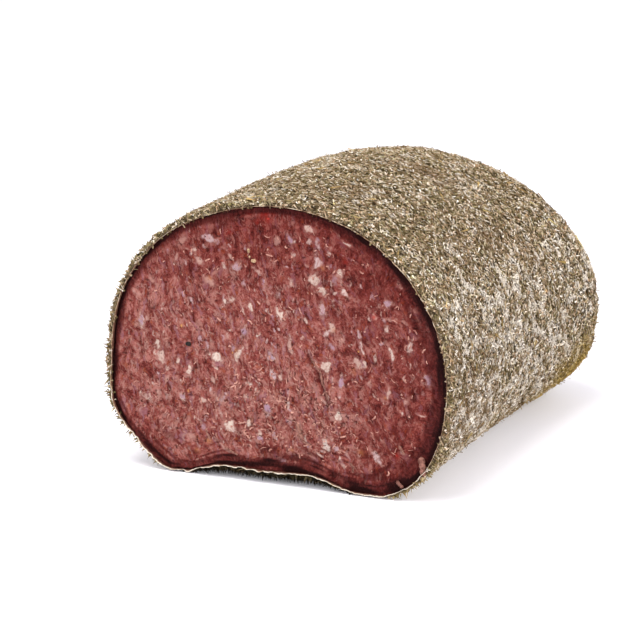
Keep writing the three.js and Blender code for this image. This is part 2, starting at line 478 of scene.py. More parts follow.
def cured_mince():
    """Maroon mince: grains of many tones, fine fibres, pale fat, a dried dark rim, and painted shade in its
    pits, nicks and torn folds.
    """
    finish = Finish("cured_mince")
    ragged = finish.warped(1.3, 1.5, finish.attribute("flow", "Vector"))
    curl = finish.stretched(0.72, ragged)
    smear = finish.stretched(0.52, ragged)
    streaked = finish.stretched(0.28, ragged)
    crumb = finish.attribute("crumb")
    fat = finish.attribute("fat")
    # Lean meat from dark to light
    mottle = finish.noise(3.6, 4.0, 0.60, curl)
    lumpy = finish.noise(2.1, 5.0, 0.70, curl)
    fibre = finish.noise(0.80, 4.0, 0.65, smear, 0.5)
    speckle = finish.noise(0.44, 2.0, 0.6, curl)
    patch = finish.step(finish.noise(5.0, 3.0, 0.6, curl), 0.43, 0.58)
    busy = finish.math("ADD", finish.total((patch, 0.85), (crumb, 0.45)), 0.35)
    torn = finish.times(finish.math("SUBTRACT", fibre, 0.5), busy)
    grain, grain_tone = finish.cells(1.9, curl)
    crumb_grain, crumb_tone = finish.cells(0.85, curl)
    lean = finish.total((mottle, 0.43), (lumpy, 0.34), (torn, 0.22), (speckle, 0.30), (grain_tone, 0.050),
                        (crumb_tone, 0.060), (crumb, 0.042), (grain, -0.02))
    flesh = finish.ramp(finish.math("SUBTRACT", lean, 0.086), [
        (0.36, (0.048, 0.0060, 0.0053)),
        (0.42, (0.100, 0.0160, 0.0135)),
        (0.48, (0.165, 0.0345, 0.0275)),
        (0.53, (0.225, 0.0600, 0.0490)),
        (0.60, (0.350, 0.1380, 0.1150)),
    ])
    # Patches that are lavender, pale, orange and deep red
    for size, detail, rough, place, low, high, most, tone in (
        (1.7, 2.0, 0.50, streaked, 0.57, 0.66, 0.60, (0.245, 0.108, 0.128)),
        (1.2, 3.0, 0.60, streaked, 0.58, 0.67, 0.55, (0.335, 0.162, 0.132)),
        (1.6, 3.0, 0.55, curl, 0.59, 0.68, 0.55, (0.265, 0.056, 0.019)),
        (2.6, 3.0, 0.60, curl, 0.57, 0.70, 0.42, (0.085, 0.0120, 0.0105)),
    ):
        patches = finish.soft_patch(finish.noise(size, detail, rough, place), low, high, most)
        flesh = finish.mix(patches, flesh, tone)
    # Small pale grains and wisps
    small, small_tone = finish.cells(1.25, smear)
    inside = finish.rest(finish.step(small, 0.12, 0.50))
    chosen = finish.times(finish.step(small_tone, 0.74, 0.80), inside, 0.50)
    flesh = finish.mix(chosen, flesh, (0.385, 0.225, 0.195))
    where = finish.step(finish.noise(3.4, 2.0, 0.5), 0.47, 0.60)
    wisps = finish.line(finish.noise(2.6, 2.0, 0.5, streaked), 0.50, 0.034)
    flesh = finish.mix(finish.times(wisps, where, 0.50), flesh, (0.42, 0.222, 0.185))
    # Torn folds, each with a pale lip and a dark hollow beside it that is painted shadow
    folds = finish.noise(2.7, 2.0, 0.5, curl, 0.8)
    torn_here = finish.step(finish.noise(3.0, 3.0, 0.6, curl), 0.44, 0.60)
    spread = finish.total((finish.times(crumb, torn_here), 0.90), (where, 0.10))
    lip = finish.times(finish.line(folds, 0.50, 0.036), spread)
    flesh = finish.mix(lip, flesh, (0.50, 0.270, 0.215))
    painted_fold_shadow = finish.times(finish.line(folds, 0.545, 0.028), spread)
    flesh = finish.mix(finish.times(painted_fold_shadow, 0.75), flesh, (0.060, 0.0105, 0.0085))
    # Fat with pink veins, frayed at its edge
    flesh = finish.mix(finish.soft_patch(fat, 0.03, 0.50, 0.25), flesh, (0.290, 0.140, 0.120))
    fat_colour = finish.ramp(finish.attribute("fat_tone"), [
        (0.0, (0.315, 0.135, 0.110)),
        (0.35, (0.395, 0.230, 0.190)),
        (0.65, (0.560, 0.455, 0.385)),
        (0.85, (0.430, 0.310, 0.315)),
        (1.0, (0.325, 0.205, 0.262)),
    ])
    vein = finish.soft_patch(finish.noise(0.7, 3.0, 0.6, smear), 0.42, 0.66, 0.60)
    fat_colour = finish.mix(vein, fat_colour, (0.31, 0.140, 0.120))
    frayed = finish.total((fat, 1.0), (finish.noise(1.1, 4.0, 0.7, smear), 1.8))
    colour = finish.mix(finish.step(frayed, 1.06, 1.80), flesh, fat_colour)
    # Specks of spice, and painted shade: dark nicks, and the pits and torn fold darkened as if shade fell in
    # them
    colour = finish.mix(finish.attribute("red"), colour, (0.35, 0.027, 0.018))
    colour = finish.mix(finish.attribute("orange"), colour, (0.42, 0.165, 0.070))
    painted_nick_shade = finish.total((finish.noise(1.0, 3.0, 0.6, curl), 1.0), (crumb, 0.030))
    colour = finish.mix(finish.soft_patch(painted_nick_shade, 0.62, 0.69, 0.85), colour, (0.040, 0.007, 0.006))
    colour = finish.mix(finish.attribute("painted_pit_shade"), colour, (0.040, 0.008, 0.006))
    # The darker lean at the top and right, and the dried rim: dull, then maroon, then nearly black
    dusk = finish.times(finish.attribute("dusk"), finish.rest(finish.times(fat, 0.75)))
    colour = finish.tinted(dusk, colour, (0.66, 0.450, 0.440))
    rim = finish.total((finish.attribute("rim"), 1.0), (mottle, 0.35), (speckle, 0.35), (fibre, 0.25))
    maroon = finish.mix(finish.step(fibre, 0.42, 0.66), (0.036, 0.0046, 0.0044), (0.135, 0.0260, 0.0220))
    colour = finish.tinted(finish.step(rim, 0.45, 0.88), colour, (0.50, 0.34, 0.34))
    colour = finish.mix(finish.step(rim, 0.68, 1.16), colour, maroon)
    colour = finish.mix(finish.step(rim, 0.92, 1.30), colour, (0.0115, 0.0014, 0.0013))
    relief = finish.total((torn, 0.9), (speckle, 0.5), (crumb_grain, -0.20), (lip, 0.30), (painted_fold_shadow, -0.25))
    roughness = finish.math("ADD", finish.soft_patch(fibre, 0.3, 0.8, 0.20), 0.45)
    return finish.done(colour, roughness, 0.05, finish.bump(relief, 0.75), **{
        "Subsurface Weight": 0.06, "Subsurface Scale": 1.0 * MM, "Subsurface Radius": (1.0, 0.45, 0.3)})


def herb_bed():
    """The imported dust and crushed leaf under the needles."""
    finish = Finish("herb_bed")
    crushed = finish.noise(0.8, 4.0, 0.7)
    # The darkest tones stand partly for the crushed leaf's own colour and partly for painted shade in the
    # gaps between the needles
    colour = finish.ramp(crushed, [
        (0.38, (0.022, 0.015, 0.008)),
        (0.48, (0.070, 0.050, 0.027)),
        (0.58, (0.190, 0.142, 0.086)),
        (0.68, (0.400, 0.330, 0.240)),
    ])
    bloom = finish.times(finish.attribute("bloom"), finish.step(crushed, 0.48, 0.60))
    colour = finish.mix(bloom, colour, (0.62, 0.56, 0.48))
    colour = finish.mix(finish.times(finish.attribute("stain"), 0.6), colour, (0.25, 0.165, 0.030))
    # Painted shade: nearly black in the hollow between the feet
    colour = finish.mix(finish.attribute("painted_shade"), colour, (0.006, 0.005, 0.004))
    return finish.done(colour, 0.95, 0.1, finish.bump(crushed, 0.5))


def dried_herb(name, shades, bloomed):
    """A kind of dried chip: its dark, middle and light shades, and how much pale bloom it takes."""
    finish = Finish(name)
    shade = finish.attribute("shade")
    tone = finish.total((shade, 1.0), (finish.noise(0.45, 3.0, 0.6), 0.5))
    colour = finish.ramp(finish.math("SUBTRACT", tone, 0.25), list(zip((0.0, 0.5, 1.0), shades)))
    hue = finish.noise(1.6, 2.0, 0.5)
    colour = finish.tinted(finish.soft_patch(hue, 0.55, 0.66, 0.5), colour, (1.15, 0.86, 0.66))
    colour = finish.tinted(finish.soft_patch(hue, 0.45, 0.34, 0.5), colour, (0.92, 1.0, 0.70))
    brown = finish.times(finish.attribute("brown"), 0.40)
    colour = finish.mix(brown, colour, (0.175, 0.098, 0.048))
    powder = finish.total((finish.attribute("bloom"), 1.0), (shade, 0.40), (finish.noise(1.3, 3.0, 0.6), 1.1))
    colour = finish.mix(finish.soft_patch(powder, 1.30, 1.72, bloomed), colour, (0.74, 0.680, 0.600))
    stained = finish.mix(shade, (0.175, 0.108, 0.022), (0.480, 0.340, 0.095))
    colour = finish.mix(finish.times(finish.attribute("stain"), 0.85), colour, stained)
    # Painted shade: chips darkened in the hollow between the feet
    colour = finish.tinted(finish.attribute("painted_shade"), colour, (0.05, 0.045, 0.04))
    return finish.done(colour, 0.9, 0.10)


def casing_skin():
    """Thin dry casing: brown where herbs and meat stick to it, cream where it stands bare."""
    finish = Finish("casing_skin")
    worn = finish.total((finish.noise(1.9, 4.0, 0.65), 1.0), (finish.attribute("bare"), 0.19))
    colour = finish.ramp(worn, [
        (0.38, (0.085, 0.040, 0.022)),
        (0.48, (0.255, 0.150, 0.080)),
        (0.56, (0.480, 0.345, 0.215)),
        (0.68, (0.760, 0.680, 0.560)),
    ])
    tip = finish.step(finish.attribute("tip"), 0.72, 0.97)
    colour = finish.mix(tip, (0.090, 0.032, 0.020), colour)
    return finish.done(colour, 0.6, 0.3, finish.bump(finish.noise(0.5, 4.0, 0.6), 0.15))


def plain_mix(name, dark, light, size, roughness, depth=0.1):
    """A small thing's finish: two tones of one colour with a fine relief."""
    finish = Finish(name)
    mottle = finish.noise(size, 4.0, 0.6)
    colour = finish.ramp(mottle, [(0.35, dark), (0.65, light)])
    return finish.done(colour, roughness, 0.15, finish.bump(mottle, depth))


# The camera

def camera_axes():
    """The camera's way back, to its right and up."""
    azimuth, elevation = math.radians(CAMERA_AZIMUTH), math.radians(CAMERA_ELEVATION)
    back = np.array([math.sin(azimuth) * math.cos(elevation),
                     -math.cos(azimuth) * math.cos(elevation), math.sin(elevation)])
    right = np.array([math.cos(azimuth), math.sin(azimuth), 0.0])
    return back, right, np.cross(back, right)


def add_camera():
    """The camera, standing where the photograph was taken from."""
    back, right, up = camera_axes()
    data = bpy.data.cameras.new("camera")
    data.sensor_width = SENSOR_MM
    data.lens = CAMERA_FOCAL_PIXELS * SENSOR_MM / IMAGE_PIXELS
    data.clip_start = 0.05
    data.clip_end = 20.0
    camera = bpy.data.objects.new("camera", data)
    place = (np.array(CAMERA_TARGET) + back * CAMERA_DISTANCE) * MM
    camera.matrix_world = Matrix([[right[k], up[k], back[k], place[k]] for k in range(3)] + [[0, 0, 0, 1]])
    bpy.context.scene.collection.objects.link(camera)
    bpy.context.scene.camera = camera


def on_cut(pixel_x, pixel_y):
    """The place on the plane of the cut that a pixel of the photograph shows."""
    back, right, up = camera_axes()
    eye = np.array(CAMERA_TARGET) + back * CAMERA_DISTANCE
    middle = IMAGE_PIXELS / 2
    ray = -back + (right * (pixel_x - middle) - up * (pixel_y - middle)) / CAMERA_FOCAL_PIXELS
    place = eye + ray * (FRONT - eye[1]) / ray[1]
    return place[0], place[2]


# The meat

# The grains of fat that stand out at the cut: the pixel of the photograph that shows the middle,
# length and width in millimetres, how far the grain turns from upright to the left, and its tone,
# from 0, pink, over 0.65, cream, to 1, lavender grey
FAT_GRAINS = (
    (141, 320, 4.2, 1.8, 8, 0.95), (157, 344, 3.4, 1.3, 5, 0.6), (161, 356, 5.2, 2.8, 4, 0.5),
    (177, 361, 2.6, 1.1, -12, 0.6), (188, 370, 4.5, 1.3, -6, 0.6), (216, 357, 4.6, 3.0, 70, 0.65),
    (237, 356, 5.0, 2.1, -22, 0.55), (243, 332, 2.8, 2.4, 20, 1.0), (257, 336, 1.8, 1.4, 0, 0.65),
    (251, 308, 4.0, 1.3, 18, 0.6), (244, 312, 2.8, 0.7, 22, 0.5), (280, 315, 4.8, 1.6, 24, 0.62),
    (208, 238, 6.6, 2.8, 80, 0.85), (181, 240, 4.2, 2.6, -30, 0.2), (194, 250, 1.8, 1.4, 0, 0.5),
    (176, 257, 3.2, 1.5, -8, 0.3), (199, 261, 3.6, 2.0, 38, 0.4), (236, 268, 3.8, 2.8, -25, 0.9),
    (209, 281, 3.8, 2.6, 60, 0.3), (151, 280, 2.1, 1.9, 0, 0.1), (182, 397, 2.2, 1.6, 0, 0.95),
    (204, 401, 2.6, 1.7, 75, 0.45), (217, 399, 2.6, 1.8, 20, 0.45), (257, 391, 2.2, 1.5, -15, 0.5),
    (230, 426, 4.4, 3.8, 60, 0.66), (248, 424, 3.6, 1.7, -14, 0.6), (170, 437, 2.8, 2.2, 30, 0.15),
    (191, 436, 2.6, 2.2, 10, 0.15), (270, 357, 2.8, 2.2, 10, 0.95), (273, 375, 3.6, 1.9, 25, 0.85),
    (268, 409, 2.8, 2.6, 0, 1.0), (274, 462, 2.7, 1.7, 80, 0.4), (314, 280, 3.8, 4.4, 20, 0.58),
    (321, 291, 3.4, 2.6, 70, 0.6), (317, 263, 5.0, 2.9, 6, 0.8), (309, 230, 3.4, 2.1, 80, 0.5),
    (290, 239, 3.4, 1.8, 28, 1.0), (347, 245, 3.5, 1.1, 62, 0.7), (345, 294, 3.6, 1.4, 58, 0.75),
    (322, 310, 3.6, 2.0, 16, 0.9), (331, 327, 4.8, 2.3, 18, 0.45), (290, 346, 6.0, 1.5, 20, 0.4),
    (359, 335, 4.2, 1.0, 16, 0.9), (361, 348, 4.2, 1.1, 20, 0.8), (357, 364, 4.1, 2.5, 30, 0.45),
    (374, 316, 3.2, 1.4, 10, 0.4), (388, 303, 2.9, 2.5, 0, 0.95), (385, 330, 2.5, 2.2, 0, 0.7),
    (391, 355, 4.8, 1.3, 18, 0.7), (416, 311, 2.8, 1.6, 14, 0.2), (427, 326, 6.0, 2.2, 14, 0.55),
    (410, 348, 4.6, 2.0, -10, 0.7), (428, 381, 3.6, 2.6, 10, 0.95), (314, 366, 1.9, 1.6, 0, 0.6),
    (326, 366, 3.4, 3.0, 0, 0.6), (340, 382, 4.0, 2.2, -12, 1.0), (387, 395, 4.2, 1.7, -14, 0.5),
    (405, 403, 2.4, 1.4, -40, 0.4), (338, 416, 3.2, 2.7, 40, 0.65), (298, 428, 6.4, 2.2, 8, 0.15),
    (325, 446, 4.0, 3.0, 20, 0.7), (282, 461, 3.0, 1.9, 70, 0.9), (377, 459, 4.8, 3.0, 30, 0.8),
    (421, 416, 3.4, 0.6, 85, 0.5), (226, 450, 6.6, 0.9, 60, 0.3), (400, 283, 3.6, 3.2, 30, 0.35),
)
# Tints on the cut: the pixel of the middle and the reach in millimetres
RED_TINTS = ((266, 217, 2.0), (257, 221, 1.0), (228, 233, 1.1), (247, 212, 1.0), (222, 262, 0.8),
             (374, 318, 0.9), (396, 456, 1.0), (205, 431, 0.9), (345, 262, 0.8))
ORANGE_TINTS = ((181, 326, 0.6), (353, 372, 0.9), (250, 420, 0.7), (333, 330, 0.7), (322, 268, 0.9),
                (197, 451, 0.8), (208, 441, 0.9), (385, 399, 0.6), (361, 453, 1.1), (188, 391, 0.5),
                (290, 450, 0.8), (209, 279, 0.8), (235, 351, 0.6), (299, 436, 0.8))
SMALL_FAT = 1150
# The torn fold below the middle of the cut, and the middle of the loose part round it, in pixels
CRACK = ((307, 356), (314, 368), (321, 381), (325, 398), (327, 411))
LOOSE_MINCE = (285, 418)
# How far the loose part reaches across and up, and how far its torn curls do
LOOSE_REACH = (27.0, 15.0)
CURLS_REACH = (30.0, 19.0)

# Sinews and shreds that stand out: width in millimetres, and pixels along them
SINEWS = (
    (0.22, ((174, 286), (176, 291), (178, 296))), (0.20, ((200, 286), (203, 292), (205, 298))),
    (0.20, ((210, 317), (212, 321), (213, 325))), (0.26, ((224, 310), (225, 315), (224, 320))),
    (0.22, ((309, 349), (311, 353), (314, 357))), (0.28, ((314, 362), (318, 367), (320, 373))),
    (0.20, ((263, 387), (267, 390), (267, 394))), (0.24, ((278, 403), (284, 401), (289, 403))),
    (0.22, ((247, 408), (251, 406), (255, 407))), (0.22, ((302, 401), (306, 404), (308, 408))),
    (0.20, ((153, 394), (156, 398), (160, 401))), (0.22, ((329, 400), (333, 402), (337, 403))),
)
SHREDS = (
    (2.6, ((420, 457), (422, 467), (423, 478))), (1.4, ((396, 481), (399, 485), (403, 489))),
    (0.9, ((349, 463), (353, 468), (352, 474))), (1.0, ((398, 446), (402, 451), (404, 456))),
    (1.3, ((296, 422), (299, 431), (302, 439))), (0.7, ((224, 447), (231, 451), (238, 456))),
    (0.7, ((205, 427), (207, 434), (210, 441))), (0.7, ((301, 441), (306, 444), (311, 446))),
    (0.9, ((308, 356), (314, 364), (320, 371), (321, 383), (326, 392), (327, 404))),
)
PATH_POINTS = 9
SHRED_TAPER = np.array([0.0, 0.85, 1.0, 0.75, 1.0, 0.7, 0.95, 0.8, 0.0])
TORN_CURLS = 520
CURL_TAPER = np.array([0.0, 1.0, 0.8, 1.0, 0.7, 0.0])
# Grains that lie in the cut: name, its two tones and roughness, and the pixel, width and height of each
SPICES = (
    ("peppercorn", ((0.005, 0.004, 0.003), (0.018, 0.014, 0.012), 0.6), ((188, 344, 1.9, 1.5),)),
    ("spice_seeds", ((0.16, 0.080, 0.035), (0.52, 0.36, 0.22), 0.5),
     ((248, 251, 0.9, 1.6), (253, 261, 1.9, 1.2), (249, 257, 0.6, 0.8))),
    ("red_crumbs", ((0.20, 0.012, 0.008), (0.36, 0.030, 0.020), 0.4),
     ((268, 219, 0.8, 0.7), (396, 456, 0.7, 0.8))),
    ("orange_crumbs", ((0.30, 0.11, 0.035), (0.48, 0.24, 0.09), 0.5),
     ((181, 326, 0.6, 0.9), (232, 353, 0.5, 0.6), (188, 391, 0.5, 1.0), (358, 352, 0.6, 0.6))),
)
# How far the mince lies back from the edge of the casing, and how much more at its rim
FACE_BACK = 0.5
RIM_BACK = 0.5
# The mesh of the cut: its spacing, how far its edge is from the middle on average, how much shorter
# that edge is than the outline, and how far the middle itself is from any edge
MEAT_SPACING = 0.316
FACE_REACH = 54.0
FACE_SHORTER = 16.0
MIDDLE_REACH = 40.0
# Spacing of the mesh where the casing hides the meat
HIDDEN_SPACING = 3.0


def rim_width(part):
    """How wide the dried dark rim is, round the cut: wide at the right and low, thin at the left."""
    turn = 2.0 * math.pi * part
    right = smoothstep(np.cos(turn + 0.25), 0.0, 0.95)
    low = smoothstep(np.cos(turn + 1.35), 0.2, 0.95)
    upper_right = smoothstep(np.cos(turn - 0.95), 0.3, 1.0)
    return 3.2 + 3.2 * right + 3.9 * low + 1.0 * upper_right


def flow_of(points):
    """Coordinates along which the mince is smeared: across the grain, along it, and into the loaf."""
    turn = np.radians(13.0 + 0.17 * points[:, 0])
    across = points[:, 0] * np.cos(turn) + (points[:, 2] - CUT_MIDDLE[1]) * np.sin(turn)
    along = (points[:, 2] - CUT_MIDDLE[1]) * np.cos(turn) - points[:, 0] * np.sin(turn)
    across = across + 1.7 * fractal(points, 11.0, 31, 2) + 0.55 * noise(points, 3.2, 33)
    along = along + 1.7 * fractal(points, 11.0, 35, 2) + 0.55 * noise(points, 3.2, 37)
    return np.stack([across, along, points[:, 1]], axis=1)


def crack_shape(points):
    """The torn fold below the middle: how deep and how near its edge each place is."""
    corners = np.array([on_cut(*pixel) for pixel in CRACK])
    flat = points[:, [0, 2]]
    nearest = np.full(len(points), 99.0)
    side = np.zeros(len(points))
    for start, end in zip(corners, corners[1:]):
        along = end - start
        part = np.clip((flat - start) @ along / (along @ along), 0.0, 1.0)
        away = flat - start - part[:, None] * along
        distance = np.linalg.norm(away, axis=1)
        closer = distance < nearest
        across = (along[0] * away[:, 1] - along[1] * away[:, 0]) / np.linalg.norm(along)
        nearest = np.where(closer, distance, nearest)
        side = np.where(closer, across, side)
    return nearest, side


def random_place(random, inset):
    """A random place on the cut, and how near the edge it lies, from 0 to 1."""
    part, reach = random.random(), math.sqrt(random.random())
    edge = outline(np.array(part), inset)
    return np.array(CUT_MIDDLE) + (edge - np.array(CUT_MIDDLE)) * reach, reach


def loose_distance(x, z, reach):
    """How far places are from the middle of the loose part, in reaches."""
    middle_x, middle_z = on_cut(*LOOSE_MINCE)
    return np.hypot((x - middle_x) / reach[0], (z - middle_z) / reach[1])


def fat_marks(points):
    """Where fat shows at the cut, how strongly, and in what tone."""
    random = np.random.default_rng(41)
    fat = np.zeros(len(points))
    tone = np.zeros(len(points))
    warp = np.stack([noise(points, 1.3, 51), noise(points, 1.3, 52)], axis=1) * 0.5
    ragged = fractal(points, 0.9, 53, 2) * 0.42
    flat = points[:, [0, 2]] + warp
    grains_seen = [(*on_cut(px, py), long, wide, turn, own, 0.85 + 0.25 * min(own / 0.5, 1.0), 0.65)
                   for px, py, long, wide, turn, own in FAT_GRAINS]
    tails = [(x, z, long * 1.7 + 1.0, wide * 1.3 + 0.5, turn, 0.5 * own, 0.50, 0.90)
             for x, z, long, wide, turn, own, strength, soft in grains_seen]
    scattered = []
    while len(scattered) < SMALL_FAT:
        place, reach = random_place(random, COAT + GAP + 1.5)
        long = 0.7 + 3.0 * random.random() ** 2.2
        wide = long * (0.24 + 0.36 * random.random())
        turn = 14.0 + 0.17 * place[0] + 26.0 * random.standard_normal()
        strength = (0.36 + 0.52 * random.random() ** 1.5) * (1.0 if reach < 0.88 else 0.5)
        scattered.append((*place, long, wide, turn, random.random(), strength, 0.55 + 0.35 * random.random()))
    for x, z, long, wide, turn, own, strength, soft in scattered + tails + grains_seen:
        near = np.nonzero((np.abs(flat[:, 0] - x) < long) & (np.abs(flat[:, 1] - z) < long))[0]
        away = flat[near] - (x, z)
        lean = math.radians(turn)
        lengthwise = away[:, 1] * math.cos(lean) - away[:, 0] * math.sin(lean)
        crosswise = away[:, 0] * math.cos(lean) + away[:, 1] * math.sin(lean)
        reach = np.hypot(lengthwise / (long / 2), crosswise / (wide / 2)) + ragged[near]
        mark = strength * fade(reach, 1.05 - soft, 1.1 + 0.3 * soft)
        stronger = mark > fat[near]
        tone[near] = np.where(stronger, own, tone[near])
        fat[near] = np.maximum(fat[near], mark)
    return fat, tone


def tint_marks(points, spots, seed):
    """Soft ragged spots at pixels of the photograph."""
    tint = np.zeros(len(points))
    flat = points[:, [0, 2]]
    for px, py, reach in spots:
        away = np.linalg.norm(flat - on_cut(px, py), axis=1)
        tint = np.maximum(tint, np.exp(-(away / reach) ** 2))
    return np.clip(tint * (0.55 + 0.9 * fractal(points, 1.2, seed, 2)), 0.0, 0.8)


def cut_surface(points, parts, edge_distance):
    """The relief of the cut in millimetres back from the casing's edge, and its marks."""
    x, z = points[:, 0], points[:, 2]
    flow = flow_of(points)
    smear = flow * np.array([1.0, 0.4, 1.0])
    # Where the mince is loose and crumbly, where it is darker, and where fat lies
    crumb = fade(loose_distance(x, z, LOOSE_REACH), 0.3, 1.3) * (0.8 + 0.6 * fractal(points, 9.0, 61, 2))
    crumb_left = 0.30 * fade(x, -40.0, 0.0) * fade(z, 50.0, 70.0)
    crumb = np.clip(np.maximum(crumb, crumb_left), 0.0, 1.0)
    dusk = smoothstep(z, 52.0, 84.0) + 0.75 * smoothstep(x, 12.0, 50.0)
    dusk = np.clip(dusk + 0.30 * fractal(points, 12.0, 63, 2), 0.0, 1.25)
    fat, tone = fat_marks(points)
    # The dried rim, fainter at the top, in streaky layers low down
    low = fade(z, 8.0, 22.0)
    top = smoothstep(z, 66.0, 84.0) * fade(x, 5.0, 40.0)
    width = rim_width(parts) * (1.0 + (0.30 + 0.25 * low) * fractal(points, 7.0, 65, 3))
    along_rim = np.stack([edge_distance, parts * 40.0, parts * 0.0], axis=1)
    layers = noise(along_rim, 0.9, 66) * (0.20 + 0.16 * low)
    rim = np.clip((1.0 - edge_distance / width) * (1.0 - 0.24 * low - 0.30 * top), 0.0, 1.0)
    rim = np.clip(rim + layers * (edge_distance < 2.0 * width), 0.0, 1.0)
    # The relief: lumps, fibres, slow swells, small holes and the torn fold, flatter where fat lies
    lumps = (0.5 - grains(smear, 1.5, 67)) * (0.12 + 0.70 * crumb)
    fibres = noise(smear, 0.7, 71) * (0.06 + 0.06 * crumb)
    slow = 0.25 * fractal(points, 15.0, 73, 3)
    hole = smoothstep(noise(points, 1.05, 75) + 0.16 * crumb, 0.74, 0.92) * fade(fat, 0.2, 0.6)
    crack, side = crack_shape(points)
    open_wide = np.clip(0.80 + 0.7 * noise(points, 2.6, 77), 0.3, 1.0)
    fold = np.exp(-(crack / 0.50) ** 2) * 0.9 * open_wide
    fold += smoothstep(-side, -0.2, 0.5) * np.exp(-crack / 2.0) * 0.45
    calm = 1.0 - 0.6 * fat
    back = FACE_BACK + slow * (1.0 - rim) - (lumps + fibres) * calm - 0.10 * fat + 0.35 * hole + fold
    back += (RIM_BACK - FACE_BACK * underside(parts)) * fade(edge_distance, 0.0, width)
    # Painted shade: the small holes and the torn fold are marked to be darkened where shade falls in them
    painted_pit_shade = np.clip(hole * 0.60 + np.exp(-(crack / 0.32) ** 2) * 0.75 * open_wide, 0.0, 1.0)
    return np.maximum(back, 0.06), {
        "fat": fat * (1.0 - 0.6 * rim), "fat_tone": tone, "crumb": crumb, "dusk": dusk, "rim": rim,
        "painted_pit_shade": painted_pit_shade, "red": tint_marks(points, RED_TINTS, 111),
        "orange": tint_marks(points, ORANGE_TINTS, 115), "flow": flow * MM}


def make_meat():
    """The mince: a fine craggy face, and plain sides where the casing hides it."""
    middle = np.array([CUT_MIDDLE[0], 0.0, CUT_MIDDLE[1]])
    rings, parts, reaches = [middle[None]], [np.zeros(1)], [np.full(1, MIDDLE_REACH)]
    ring_count = round(FACE_REACH / MEAT_SPACING)
    for k in range(1, ring_count + 1):
        size = k / ring_count
        count = max(6, round((ROUND_LENGTH - FACE_SHORTER) * size / MEAT_SPACING))
        part = np.arange(count) / count
        edge = skin(part, 1.0, coat_depth(part) + GAP)
        edge[:, 1] = 0.0
        rings.append(middle + (edge - middle) * size)
        parts.append(part)
        reaches.append(np.linalg.norm(edge - middle, axis=1) * (1.0 - size))
    face = np.concatenate(rings)
    back, marks = cut_surface(face, np.concatenate(parts), np.concatenate(reaches))
    face[:, 1] = FRONT + back
    splits = np.cumsum([len(ring) for ring in rings])[:-1]
    surface = np.split(face, splits)
    for part, far in loaf_rings(FACE_BACK + RIM_BACK + 2.0, COAT + GAP, HIDDEN_SPACING):
        surface.append(skin(part, far, coat_depth(part) + GAP))
    surface.append(skin(np.zeros(1), np.full(1, LENGTH - COAT - GAP), COAT + GAP))
    points, faces = ring_surface(surface)
    hidden = points[len(face):]
    for key, values in marks.items():
        rest = flow_of(hidden) * MM if key == "flow" else np.full(len(hidden), float(key == "rim"))
        marks[key] = np.concatenate([values, rest])
    add_piece(make_mesh("mince", points, faces, marks), cured_mince(), "meat")
    return face


# Small things in and on the cut

def tube(path, widths, thickness, sides=6):
    """A closed, flattened tube through places, pointed at both ends: width across, thickness forwards."""
    path = np.asarray(path, float)
    along = np.gradient(path, axis=0)
    along /= np.linalg.norm(along, axis=1, keepdims=True)
    forward = np.array([0.0, -1.0, 0.0])
    across = np.cross(along, forward)
    across /= np.linalg.norm(across, axis=1, keepdims=True)
    over = np.cross(across, along)
    rings = [path[:1]]
    for k in range(1, len(path) - 1):
        turns = np.arange(sides) / sides * 2.0 * math.pi
        rings.append(path[k] + np.outer(np.cos(turns), across[k]) * widths[k] / 2
                     + np.outer(np.sin(turns), over[k]) * thickness / 2)
    rings.append(path[-1:])
    return ring_surface(rings)


def cut_depth(face, x, z):
    """How far back the surface of the cut lies at a place."""
    nearest = np.argmin((face[:, 0] - x) ** 2 + (face[:, 2] - z) ** 2)
    return face[nearest, 1]


def bent_path(face, corners, lift):
    """A line through a few pixels of the photograph, lying on the cut and lifted off it in the middle."""
    ends = np.array([on_cut(*pixel) for pixel in corners])
    steps = np.linspace(0.0, len(ends) - 1.0, PATH_POINTS)
    x, z = (np.interp(steps, np.arange(len(ends)), ends[:, k]) for k in (0, 1))
    depth = np.array([cut_depth(face, *place) for place in zip(x, z)])
    depth = np.convolve(np.pad(depth, 1, mode="edge"), np.full(3, 1 / 3), mode="valid")
    lifts = 0.12 - lift * np.sin(np.linspace(0.0, math.pi, PATH_POINTS))
    return np.stack([x, depth + lifts, z], axis=1)


def join_shapes(shapes):
    """Several closed shapes as one list of points and faces."""
    points, faces, start = [], [], 0
    for own_points, own_faces in shapes:
        points.append(own_points)
        faces.extend([tuple(corner + start for corner in face) for face in own_faces])
        start += len(own_points)
    return np.concatenate(points), faces


def pebble(middle, size, seed):
    """A small uneven grain."""
    rings = [np.array([[0.0, 0.0, 1.0]])]
    for tilt in np.linspace(0.0, math.pi, 8)[1:-1]:
        turns = np.arange(12) / 12 * 2.0 * math.pi
        rings.append(np.stack([np.sin(tilt) * np.cos(turns), np.sin(tilt) * np.sin(turns),
                               np.full(12, math.cos(tilt))], axis=1))
    rings.append(np.array([[0.0, 0.0, -1.0]]))
    points, faces = ring_surface(rings)
    points = points * (1.0 + 0.16 * noise(points + seed, 0.7, seed))[:, None]
    return points * np.asarray(size) / 2 + np.asarray(middle), [face[::-1] for face in faces]


